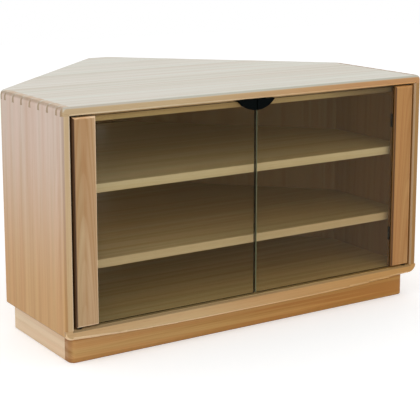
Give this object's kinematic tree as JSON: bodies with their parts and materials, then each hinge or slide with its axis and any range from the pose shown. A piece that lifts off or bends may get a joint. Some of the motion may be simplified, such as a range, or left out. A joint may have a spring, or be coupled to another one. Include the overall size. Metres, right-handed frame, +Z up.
{
  "type": "corner cabinet",
  "caption": "Corner cabinet in pale wood with angled backs, dovetailed corners, recessed plinth, shelves and tinted glass doors hung on wooden uprights that turn on pivots.",
  "frame": {"origin": "middle of the bounding box's bottom face, on the floor", "axes": "+X across the front to the viewer's right, +Y from the front to the back corner, +Z up; the front faces -Y"},
  "size_m": [1, 0.785, 0.573],
  "materials": {
    "ash_top": "oiled",
    "ash_base": "oiled",
    "ash_side": "oiled",
    "ash_back": "oiled",
    "ash_shelf": "oiled",
    "ash_plinth": "oiled",
    "ash_stile": "oiled",
    "tinted_glass": "polished, bronze tint",
    "black_pull": "gloss",
    "black_fitting": "matt",
    "steel": "zinc plated"
  },
  "bodies": {
    "cabinet": {"back_corner": "ash_back", "back_left": "ash_back", "back_right": "ash_back", "back_screws": "steel", "base_board": "ash_base", "catch_body": "black_fitting", "catch_magnets": "steel", "catch_screws": "steel", "door_rail": "ash_shelf", "pivot_bushes_left": "black_fitting", "pivot_bushes_right": "black_fitting", "plinth_back_left": "ash_plinth", "plinth_back_right": "ash_plinth", "plinth_corner_block": "ash_plinth", "plinth_front": "ash_plinth", "plinth_left": "ash_plinth", "plinth_right": "ash_plinth", "plinth_screws": "steel", "rail_screws": "steel", "shelf_lower": "ash_shelf", "shelf_pegs_lower": "steel", "shelf_pegs_upper": "steel", "shelf_upper": "ash_shelf", "side_left": "ash_side", "side_right": "ash_side", "top_board": "ash_top"},
    "door_left": {"stile_left": "ash_stile", "glass_left": "tinted_glass", "retainers_left": "black_fitting", "retainer_screws_left": "steel", "pivot_pins_left": "steel", "pull_left": "black_pull", "strike_left": "steel"},
    "door_right": {"stile_right": "ash_stile", "glass_right": "tinted_glass", "retainers_right": "black_fitting", "retainer_screws_right": "steel", "pivot_pins_right": "steel", "pull_right": "black_pull", "strike_right": "steel"}
  },
  "joints": [
    {"name": "door_left_pivot", "type": "hinge", "parent": "cabinet", "child": "door_left", "pos_m": [-0.464, -0.3825, 0.318], "axis": [0, 0, -1], "range_deg": [0, 110]},
    {"name": "door_right_pivot", "type": "hinge", "parent": "cabinet", "child": "door_right", "pos_m": [0.464, -0.3825, 0.318], "axis": [0, 0, 1], "range_deg": [0, 110]}
  ]
}
